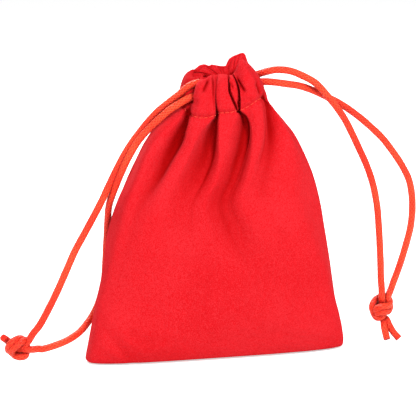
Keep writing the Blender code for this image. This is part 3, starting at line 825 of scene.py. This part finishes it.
def mouth_folds(start, side, count):
    """Rows from the rim in to the hole, and how deep in a groove each column is."""
    # where each fold ends, round the slot-shaped hole
    off = start[:, 0] - HOLE_X
    end_x = HOLE_X + np.sign(off) * 3.4 * (1 - np.exp(-np.abs(off) / 4.5))
    wave = start[:, 1] - smooth_grid(start[None], 40, across_only=True)[0][:, 1]
    end_y = side * (0.30 + 0.85 * np.exp(-((end_x - HOLE_X) / 2.4) ** 2)) + 0.08 * wave
    end_z = HOLE_Z + 0.20 * (start[:, 2] - HOLE_Z) - 0.6
    end = np.stack([end_x, end_y, end_z], 1)
    # round ribs, 2.15 mm apart but uneven, with sharp grooves between them
    arc = distance_along(smooth_grid(start[None], 12, across_only=True)[0])
    drift = np.array([0.5 * noise.noise(Vector((a * 0.35, side * 4.2, 0))) for a in arc])
    beat = np.abs(np.sin(math.pi * (arc / 2.15 + drift)))
    rib = beat ** 0.7 - 0.62
    # the grooves' depth is used only for painted shade in the throat
    groove = np.clip(1 - beat / 0.34, 0, 1)
    rows = []
    for k in range(1, count + 1):
        f = k / count
        row = start * (1 - f) + end * f
        # the folds bow up before they dip into the hole
        row[:, 2] += 0.7 * math.sin(math.pi * f ** 0.8) * (1 - f)
        reach = f * 1.25 + 0.12
        swell = math.sin(math.pi * reach) ** 0.6 if reach < 1 else 0.0
        row[:, 2] += 0.85 * rib * swell
        row[:, 1] -= side * 0.25 * rib * swell
        rows.append(row)
    return rows, end, groove


def hole_wall(end, side):
    """Rows from the hole's edge down inside the neck."""
    rows = []
    for k in range(1, 8):
        f = k / 7
        row = end.copy()
        row[:, 2] = end[:, 2] * (1 - f) + (HOLE_Z - 11.0) * f
        row[:, 1] = end[:, 1] + side * 0.5 * f
        rows.append(row)
    return rows


def ring_faces(rows, columns, inner_from):
    """Faces and material slots of a grid closed round its rows, with zipped edges."""
    index = np.arange(rows * columns).reshape(rows, columns).tolist()
    faces, slots = [], []
    for i in range(rows):
        j = (i + 1) % rows
        for c in range(columns - 1):
            faces.append([index[i][c], index[i][c + 1], index[j][c + 1], index[j][c]])
            slots.append(1 if inner_from <= i < rows - 1 else 0)
    for c in (0, columns - 1):
        low, high = 0, rows - 1
        while low + 1 < high - 1:
            faces.append([index[low][c], index[low + 1][c], index[high - 1][c], index[high][c]])
            slots.append(0)
            low, high = low + 1, high - 1
        if low + 1 == high - 1:
            faces.append([index[low][c], index[low + 1][c], index[high][c]])
            slots.append(0)
    return faces, slots


def make_shell(wall):
    """Closed cloth wall from its outer grid.

    Below the hem the wall is one cloth thick. Above it the casing is gathered:
    the rim rolls over and its folds run in to the small hole at the middle.
    """
    outer = wall.grid
    columns = outer.shape[1]
    inner = smooth_grid(outer, 6, across_only=True) - wall.normals * CLOTH_THICKNESS
    inner = inner[wall.stitch_row + 8:]
    roll = rim_roll(outer, wall.normals)
    throat_rows = 12
    throat, hole_edge, groove = mouth_folds(roll[-1], wall.side, throat_rows)
    deep = hole_wall(hole_edge, wall.side)
    ledge = [deep[-1] * (1 - k / 5) + inner[0] * (k / 5) for k in range(1, 5)]
    rows = np.stack([*outer[::-1], *roll, *throat, *deep, *ledge, *inner])
    rows[..., 2] = np.maximum(rows[..., 2], 0.03)

    # Painted shade per row: the wall's own, carried over the rim roll, deeper in the throat's
    # grooves and towards the hole, and full on the rows inside.
    painted_shade = painted_shade_of(wall)
    shade = list(painted_shade[::-1])
    shade += [painted_shade[0] * (1 - 0.03 * k) for k in range(1, len(roll) + 1)]
    for k in range(1, throat_rows + 1):
        f = k / throat_rows
        shade.append(0.02 + 0.8 * painted_shade[0] * (1 - f)
                     + 0.70 * groove * min(1, k / 2) * (1 - 0.4 * f) + 0.85 * f ** 4.5)
    shade += [np.ones(columns)] * (len(rows) - len(shade))

    inner_from = len(outer) + len(roll) + len(throat) + len(deep)
    faces, slots = ring_faces(len(rows), columns, inner_from)
    ob = mesh_object(f"{wall.name}_wall_cloth", rows.reshape(-1, 3), faces,
                     [VELVET, INNER], slots)
    attribute = ob.data.attributes.new("painted_shade", "FLOAT", "POINT")
    attribute.data.foreach_set(
        "value", np.clip(np.stack(shade), 0, 1).reshape(-1).astype(np.float32))
    face_outward(ob)
    return ob


front_wall = make_front()
back_wall = make_back()
front = make_shell(front_wall)
back = make_shell(back_wall)


# ============================================================ bottom of the pouch
# rings from the upper edge round to the underside: distance in from the outline, height
BOTTOM_RINGS = [(1.25, 2.4), (0.9, 1.3), (1.1, 0.45), (2.4, 0.05), (6.0, 0.12), (10.0, 0.3)]


def make_bottom():
    """Closed elliptical pad between the lower edges of the walls."""
    sides = 72
    left, right, depth = outline(0.6)
    middle = (left + right) / 2
    points, faces = [], []
    for inset, z in BOTTOM_RINGS:
        for i in range(sides):
            angle = TURN * i / sides
            points.append((middle + math.cos(angle) * ((right - left) / 2 - inset),
                           math.sin(angle) * max(depth - inset, 0.4), z))
    points += [(middle, 0, 0.35), (middle, 0, 2.9)]
    last = (len(BOTTOM_RINGS) - 1) * sides
    under, over = last + sides, last + sides + 1
    for ring in range(0, last, sides):
        for i in range(sides):
            j = (i + 1) % sides
            faces.append([ring + i, ring + sides + i, ring + sides + j, ring + j])
    for i in range(sides):
        j = (i + 1) % sides
        faces += [[last + i, under, last + j], [i, j, over]]
    ob = mesh_object("bottom_cloth", np.array(points) * np.array([SCALE_X, SCALE_Y, 1.0]),
                     faces, [VELVET])
    face_outward(ob)
    return ob


bottom = make_bottom()


# ===================================================================== stitches
def thread_mesh(name, stitches):
    """One mesh of short bent capsules, each from (centre, direction, normal)."""
    points, faces = [], []
    rings, sides = 7, 6
    for centre, direction, normal in stitches:
        direction = direction / (np.linalg.norm(direction) + 1e-9)
        normal = normal / (np.linalg.norm(normal) + 1e-9)
        across = np.cross(direction, normal)
        base = len(points)
        for i in range(rings):
            f = i / (rings - 1) * 2 - 1
            arch = (1 - f * f) * STITCH_RADIUS * 0.9 - STITCH_RADIUS * abs(f) ** 4
            radius = STITCH_RADIUS * math.sqrt(max(1 - abs(f) ** 6, 0.10))
            middle = centre + direction * f * STITCH_LENGTH / 2 + normal * arch
            for k in range(sides):
                angle = TURN * k / sides
                points.append(middle + radius * (math.cos(angle) * normal
                                                 + math.sin(angle) * across))
        for ring in range(base, base + (rings - 1) * sides, sides):
            for k in range(sides):
                k2 = (k + 1) % sides
                faces.append([ring + k, ring + k2, ring + sides + k2, ring + sides + k])
        faces.append([base + k for k in range(sides)][::-1])
        faces.append([base + (rings - 1) * sides + k for k in range(sides)])
    ob = mesh_object(name, points, faces, [THREAD])
    face_outward(ob)
    return ob


def hem_stitches(wall, seed):
    line = wall.grid[wall.stitch_row]
    normals = grid_normals(wall.grid, wall.side)[wall.stitch_row]
    pressed = wall.pressed[wall.stitch_row]
    along = distance_along(line)
    rng = np.random.default_rng(seed)
    stitches = []
    # 2 mm at each end stay free
    for i in range(int((along[-1] - 4) / STITCH_PITCH)):
        place = 2 + (i + 0.5) * STITCH_PITCH + rng.uniform(-0.12, 0.12)
        # this depth also counts painted shade, which stops stitches there too
        if np.interp(place, along, pressed) > 1.6:
            continue            # swallowed by the fold
        normal = sample_line(normals, along, place)
        direction = (sample_line(line, along, place + 0.6)
                     - sample_line(line, along, place - 0.6)
                     + np.array([0, 0, rng.uniform(-0.06, 0.06)]))
        stitches.append((sample_line(line, along, place) + normal * 0.10, direction, normal))
    return thread_mesh(f"{wall.name}_hem_stitches", stitches)


front_stitches = hem_stitches(front_wall, seed=4)
back_stitches = hem_stitches(back_wall, seed=9)


# ======================================================================== cords
# Cap rings beyond the last ring of a cord: share of its radius, distance out. The
# distances are in millimetres for a cut end and in radii for a domed one.
CUT_CAP = ((0.96, 0.10), (0.80, 0.16), (0.40, 0.12))
DOME_CAP = ((0.85, 0.35), (0.55, 0.62), (0.2, 0.75))


def smooth_path(points):
    """Evenly spaced curve through the points, and the distance along it."""
    knots = np.array(points, float)
    steps = [max(4, int(np.linalg.norm(b - a) / 0.25)) for a, b in zip(knots, knots[1:])]
    curve = curves_through(knots[None], steps)[0]
    along = distance_along(curve)
    count = max(4, int(round(along[-1] / CORD_STEP)))
    distance = np.linspace(0, along[-1], count + 1)
    return sample_line(curve, along, distance), distance


def cord_mesh(name, path, along, radius, cut_end=False):
    """Round braided cord. UV 'cord' is (turn, length in mm) for the braid."""
    rings = len(path)
    tangents = np.gradient(path, axis=0)
    tangents /= np.linalg.norm(tangents, axis=1, keepdims=True)
    outward = np.cross(tangents[0], np.array([0.0, 1.0, 0.2]))
    outward /= np.linalg.norm(outward)
    points, faces, uvs = [], [], []
    for i in range(rings):
        if i > 0:
            # carry the frame along the path without twist
            outward = outward - tangents[i] * np.dot(outward, tangents[i])
            outward = outward / np.linalg.norm(outward)
        across = np.cross(tangents[i], outward)
        for k in range(CORD_SIDES):
            turn = k / CORD_SIDES
            angle = TURN * turn
            strand = max(math.sin(TURN * (BRAID_STRANDS * turn + along[i] / BRAID_PITCH)),
                         math.sin(TURN * (-BRAID_STRANDS * turn + along[i] / BRAID_PITCH)))
            r = radius * (1 + 0.022 * strand + 0.012 * math.sin(along[i] * 0.9 + 2.0))
            points.append(path[i] + r * (math.cos(angle) * outward + math.sin(angle) * across))
    for i in range(rings - 1):
        this, after = i * CORD_SIDES, (i + 1) * CORD_SIDES
        for k in range(CORD_SIDES):
            k2 = (k + 1) % CORD_SIDES
            faces.append([this + k, this + k2, after + k2, after + k])
            t0, t1 = k / CORD_SIDES, (k + 1) / CORD_SIDES
            uvs += [(t0, along[i]), (t1, along[i]), (t1, along[i + 1]), (t0, along[i + 1])]
    for i, way, cut in ((0, -1, False), (rings - 1, 1, cut_end)):
        cap, unit = (CUT_CAP, 1.0) if cut else (DOME_CAP, radius)
        centre, direction = path[i], tangents[i] * way
        rim = [i * CORD_SIDES + k for k in range(CORD_SIDES)]
        previous = rim
        for share, height in cap:
            ring = []
            for k in range(CORD_SIDES):
                crush = 0.08 * math.sin(5.1 * k + i) if cut else 0.0
                ring.append(len(points))
                points.append(centre + (points[rim[k]] - centre) * share
                              + direction * (height + crush) * unit)
            for k in range(CORD_SIDES):
                k2 = (k + 1) % CORD_SIDES
                faces.append([previous[k], previous[k2], ring[k2], ring[k]][::way])
                uvs += [(0, 0)] * 4
            previous = ring
        tip = len(points)
        points.append(centre + direction * cap[-1][1] * unit)
        for k in range(CORD_SIDES):
            faces.append([previous[k], previous[(k + 1) % CORD_SIDES], tip][::way])
            uvs += [(0, 0)] * 3
    ob = mesh_object(name, points, faces, [CORD])
    layer = ob.data.uv_layers.new(name="cord")
    layer.data.foreach_set("uv", np.array(uvs, np.float32).reshape(-1))
    face_outward(ob)
    return ob


# Each strand has three lists of points (x, y, z) that follow on: from the neck out,
# on down to the knot, and through the overhand knot that both strands share.
LEFT_BACK_PATH = (
    [(-5.4, -3, 103.6), (-7.7, -4.4, 103.7), (-9.7, -4, 103.1), (-12.2, -3.2, 101.4),
     (-14.3, -2.6, 99.4), (-17.2, -1.9, 97.1), (-20.2, -1.4, 94.7), (-23.1, -1, 92.1),
     (-28.4, -0.6, 86), (-33, -0.3, 79.7), (-36.6, -0.2, 73.4), (-40.2, -0.4, 66.4)],
    [(-42.6, -0.6, 61.5), (-45.7, -0.8, 55.8), (-49.8, -1, 48.6), (-53.2, -1, 42.6),
     (-56.6, -1, 35.2), (-60, -1, 27.8), (-63.7, -1.1, 20.6), (-67.1, -1.2, 14.8)],
    [(-69.5, -1.4, 12), (-71.2, -1.8, 9.6), (-72.7, -1.6, 8), (-74.6, -0.6, 6.9),
     (-76.6, 0.6, 5.5), (-76.3, 0.2, 3.9), (-74.4, -1, 3.4), (-72.5, -0.8, 3.7),
     (-71.7, 1, 5.3), (-72, 2.2, 7.4), (-73.2, 0.6, 9.6), (-75.3, -2.6, 10.8),
     (-77.6, -3.6, 9.9), (-78.7, -2.4, 7.8), (-78.2, 0.4, 5.7), (-77.1, 2.6, 6.1),
     (-78.1, 1.8, 8.5), (-79.6, 0.2, 10.3), (-80.4, -0.6, 11.1)])
LEFT_FRONT_PATH = (
    [(-6, -3.2, 98.6), (-9.4, -5, 98.8), (-12.3, -5, 97.7), (-14.9, -4.6, 96.2),
     (-17.8, -4.2, 94.4), (-20.8, -3.6, 91.8), (-25.2, -3, 87.7), (-29.7, -2.6, 82.6),
     (-33.5, -2.2, 76.2), (-36.3, -1.6, 70)],
    [(-38.6, -0.4, 63.8), (-39.8, 2.4, 58.4), (-39.9, 5.5, 52.1), (-39.8, 8.4, 45.7),
     (-39.8, 10.7, 39.3), (-39.9, 12.3, 33.1), (-40.4, 13.1, 26.4), (-42.1, 12.4, 20.4),
     (-44.4, 10.5, 16), (-47.4, 7.7, 12.8), (-51, 4.7, 10), (-55.1, 2.2, 8.2),
     (-59, 0.6, 7.1), (-66, -0.8, 5.8)],
    [(-67.5, -0.9, 6), (-69.9, -1.2, 6), (-72, -1.4, 6.3), (-73.9, -0.4, 6.2),
     (-75.4, 1.4, 4.4), (-75.3, 0.8, 3), (-73.6, 1.0, 3.7), (-72.2, 1.2, 4.2),
     (-71.3, 2.6, 4.6), (-71.5, 3, 7), (-72.5, -0.6, 9.6), (-74.4, -3.6, 9.7),
     (-76.6, -4.3, 8.2), (-77.8, -3, 6.5), (-77, 0.2, 4.8), (-76.3, 3.2, 5.1),
     (-77.4, 3.2, 6.7)])
RIGHT_BACK_PATH = (
    [(13.4, 3.6, 104.4), (16.6, 3.0, 105.2), (20.0, 1.8, 106.3), (23.2, 1.1, 106.9),
     (28.1, 0.5, 106.5), (32.4, -0.1, 104.9), (37.9, -1.1, 101.8), (43.0, -2.0, 96.2)],
    [(46.8, -2.0, 91.5), (49.6, -1.8, 87.4), (52.6, -1.5, 81.9), (55.6, -1.1, 76.0),
     (58.4, -1.0, 70.2), (61.0, -1.0, 63.2), (63.0, -1.0, 54.4), (64.1, -1.0, 44.2),
     (65.0, -0.9, 32.4), (65.4, -0.8, 25.0)],
    [(65.8, -0.8, 20.9), (65.5, -2, 18.4), (65.9, -1, 15.3), (65.7, -0.2, 12.7),
     (64.4, -1, 10.4), (63.1, 0.4, 11.5), (62.3, -0.4, 14.2), (63.7, 0.8, 16),
     (66.4, 2.6, 16.7), (68.9, 2.6, 16.6), (69.6, 0.5, 15.7), (68, -2.4, 14.6),
     (65.1, -3.7, 14.7), (63.4, -2.6, 13.7), (64.1, 0.6, 11.6), (66.3, 2.6, 9.5),
     (67.3, 1, 8.1), (67.2, -0.5, 5.9), (67.5, -1.6, 3.3), (67.7, -3, 1.35)])
RIGHT_FRONT_PATH = (
    [(13.6, 1.6, 101.8), (17.0, 1.0, 102.6), (21.4, 0.4, 102.5), (26.6, 0.5, 101.7),
     (32.5, 1.0, 100.6), (38.5, 1.6, 98.4), (43.4, 2.0, 96.0)],
    [(49.1, 2.0, 93.0), (56.0, 1.5, 88.1), (61.1, 1.0, 83.7), (65.0, 0.5, 79.9),
     (69.2, 0.1, 74.6), (73.2, 0.0, 68.8), (76.2, 0.0, 62.8), (77.6, 0.0, 55.0),
     (77.3, 0.0, 45.6), (75.2, 0.0, 36.6), (72.9, 0.0, 29.0), (71.0, 0.1, 23.6)],
    [(69.7, -0.4, 20.5), (68.2, -1.6, 18.1), (67.7, -0.8, 15.2), (67.5, -0.4, 12.7),
     (66, -1.6, 10.3), (64.5, -0.2, 9.3), (63.7, 1.8, 10.7), (63.3, 2, 13.3),
     (65.2, 2.9, 14.7), (67.7, 3.9, 15.2), (70, 3.4, 14.7), (70, 1.2, 13.3),
     (68.4, -1.6, 12.1), (65.9, -3.2, 12.4), (64.2, -2.2, 12), (65.2, 1, 10),
     (67.4, 2.6, 8.5), (68.6, 0.8, 8.2), (69.3, -0.6, 6.1), (70.6, -1.8, 3.6),
     (72.4, -3.2, 1.35)])

# Strands: side, place, path, the cord's direction (x, z) at the swing joint and at
# the bend joint, and the CAD pieces its lower mesh shows besides its own strand.
STRANDS = [
    ("left", "back", LEFT_BACK_PATH, (-0.66, -0.75), (-0.6, -0.8), ("left_knot", "left_tail")),
    ("left", "front", LEFT_FRONT_PATH, (-0.66, -0.75), (-0.6, -0.8), ()),
    ("right", "back", RIGHT_BACK_PATH, (1.0, 0.0), (0.72, -0.69),
     ("right_knot", "right_tail_inner")),
    ("right", "front", RIGHT_FRONT_PATH, (1.0, 0.0), (0.9, -0.43), ("right_tail_outer",)),
]
# The cords inside the casings, behind the gathers: side, wall, points.
CASING_RUNS = [
    ("left", "front", [(-5.6, -3.0, 98.4), (-2.0, -3.2, 98.0), (3.0, -3.2, 97.8),
                       (8.0, -3.2, 97.8), (12.0, -2.4, 98.0)]),
    ("right", "front", [(-4.4, -2.6, 102.2), (-1.0, -2.8, 102.2), (4.0, -2.8, 102.0),
                        (9.0, -2.6, 101.8), (12.6, -1.8, 101.8)]),
    ("left", "back", [(-5.0, 2.4, 98.4), (-1.0, 2.6, 98.0), (4.0, 2.6, 97.8),
                      (9.0, 2.6, 97.8), (12.6, 2.0, 98.2)]),
    ("right", "back", [(-4.6, 2.2, 102.2), (-1.0, 3.0, 101.8), (4.0, 3.4, 101.6),
                       (8.2, 3.6, 101.8), (11.6, 4.0, 102.6)]),
]


def split_cord(name, neck, hanging, knot):
    """One strand as two meshes that meet half way along its part from the neck."""
    path, along = smooth_path(neck + hanging + knot)
    half = len(neck) // 2
    meeting = (np.array(neck[half]) + np.array(neck[half + 1])) / 2
    i = int(np.argmin(np.linalg.norm(path[:len(path) // 2] - meeting, axis=1)))
    return (cord_mesh(f"{name}_upper", path[:i + 1], along[:i + 1], CORD_RADIUS),
            cord_mesh(f"{name}_lower", path[i:], along[i:], CORD_RADIUS, cut_end=True))


strands = [split_cord(f"{side}_{place}_strand", *path) for side, place, path, *_ in STRANDS]
casing_runs = [cord_mesh(f"{side}_cord_in_{wall}_casing", *smooth_path(points),
                         HIDDEN_CORD_RADIUS) for side, wall, points in CASING_RUNS]


def blend_at(ob):
    """Bake the cord's transform into its mesh."""
    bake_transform(ob)


# The walls and their stitches have their transforms baked into their meshes; the
# bottom goes with the pouch.
for ob, body, side in ((front, "front_wall", FRONT), (front_stitches, "front_wall", FRONT),
                       (back, "back_wall", BACK), (back_stitches, "back_wall", BACK)):
    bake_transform(ob)
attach(bottom, "pouch")

for (upper, lower), (side, _, _, swing_way, bend_way, _) in zip(strands, STRANDS):
    blend_at(upper)
    blend_at(lower)

# what each CAD solid is shown by
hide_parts("front_panel", "front_hem")
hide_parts("back_panel", "back_hem")
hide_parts("bottom_fold")
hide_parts("front_hem_stitching")
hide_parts("back_hem_stitching")
for (upper, lower), (side, place, _, _, _, extras) in zip(strands, STRANDS):
    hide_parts(f"{side}_cord_{place}_end", f"{side}_cord_{place}_strand")
    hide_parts(f"{side}_loop_{place}_strand", *extras)

for ob, (side, wall, _) in zip(casing_runs, CASING_RUNS):
    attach(ob, f"{wall}_wall")
    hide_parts(f"{side}_cord_{wall}_run")

# CAD pieces that keep their shape and get real materials
for name, material in (("left_seam_allowance", INNER), ("right_seam_allowance", INNER),
                       ("left_side_stitching", THREAD), ("right_side_stitching", THREAD)):
    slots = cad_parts[name].data.materials
    slots.clear()
    slots.append(material)


# ============================================================== floor and world
def floor_material(name):
    """Matt white that also glows a little, for the camera only."""
    material = bpy.data.materials.new(name)
    shading = Shading(material)
    shading.surface({"Base Color": (0.92, 0.92, 0.92, 1), "Roughness": 0.85,
                     "Specular IOR Level": 0.1})
    # this strength stands only if the link below it is taken away
    glow = shading.add("Emission", {"Strength": 0.52})
    seen = shading.add("LightPath").outputs["Is Camera Ray"]
    shading.feed(glow, {"Strength": shading.math("MULTIPLY", seen, 0.55)})
    both = shading.add("AddShader", {0: shading.nodes["Principled BSDF"].outputs[0],
                                     1: glow.outputs[0]})
    shading.feed(shading.nodes["Material Output"], {"Surface": both.outputs[0]})
    return material


def make_world(name):
    """White studio: dim as a light, full white where the camera sees it."""
    world = bpy.data.worlds.new(name)
    bpy.context.scene.world = world
    shading = Shading(world)
    white = (1.0, 1.0, 1.0, 1)
    ambient = shading.nodes["Background"]
    shading.feed(ambient, {"Color": white, "Strength": 0.45})
    backdrop = shading.add("Background", {"Color": white, "Strength": 1.0})
    seen = shading.add("LightPath").outputs["Is Camera Ray"]
    mixed = shading.add("MixShader", {0: seen, 1: ambient.outputs[0],
                                      2: backdrop.outputs[0]})
    shading.feed(shading.nodes["World Output"], {"Surface": mixed.outputs[0]})


pale_floor = floor_material("pale_floor")
bpy.ops.mesh.primitive_plane_add(size=8.0, location=(0, 0, -0.0002))
floor = bpy.context.object
floor.name = "floor"
floor.data.materials.append(pale_floor)
make_world("studio")
bpy.context.scene.view_settings.view_transform = "Standard"


# ============================================================ lights and camera
LIGHT_DISTANCE = 0.95
LIGHT_TARGET = Vector((0, 0, 0.055))
# name, azimuth and elevation in degrees, disk size, and share of full exposure it
# adds to a white surface facing it
LIGHTS = [
    ("key", 16, 42, 0.30, 0.86),
    ("fill", -45, 15, 0.55, 0.24),
    ("back_light", 190, 42, 0.40, 0.95),
]

# the camera looks from a little left of the front and a little above
CAMERA_AZIMUTH, CAMERA_ELEVATION = -13.0, 12.0
CAMERA_DISTANCE = 0.600
CAMERA_TARGET = Vector((-0.0029, 0.0, 0.056))
VIEW_WIDTH = 0.155168           # width in view at the target
SENSOR_WIDTH = 36.0             # mm


def direction_to(azimuth, elevation):
    """Unit vector; azimuth 0 is the front (-Y), 90 the right (+X)."""
    azimuth, elevation = math.radians(azimuth), math.radians(elevation)
    return Vector((math.sin(azimuth) * math.cos(elevation),
                   -math.cos(azimuth) * math.cos(elevation), math.sin(elevation)))


def add_light(name, azimuth, elevation, size, share):
    data = bpy.data.lights.new(name, "AREA")
    data.shape = "DISK"
    data.size = size
    data.energy = share * math.pi ** 2 * LIGHT_DISTANCE ** 2
    ob = link_object(name, data)
    place = direction_to(azimuth, elevation) * LIGHT_DISTANCE + LIGHT_TARGET
    ob.location = place
    ob.rotation_euler = (LIGHT_TARGET - place).to_track_quat("-Z", "Y").to_euler()


def add_camera():
    data = bpy.data.cameras.new("camera")
    data.sensor_width = SENSOR_WIDTH
    data.lens = SENSOR_WIDTH * CAMERA_DISTANCE / VIEW_WIDTH
    data.clip_start = 0.01
    data.clip_end = 20
    ob = link_object("camera", data)
    away = direction_to(CAMERA_AZIMUTH, CAMERA_ELEVATION)
    ob.location = CAMERA_TARGET + away * CAMERA_DISTANCE
    ob.rotation_euler = (-away).to_track_quat("-Z", "Y").to_euler()
    bpy.context.scene.camera = ob


for light in LIGHTS:
    add_light(*light)
add_camera()
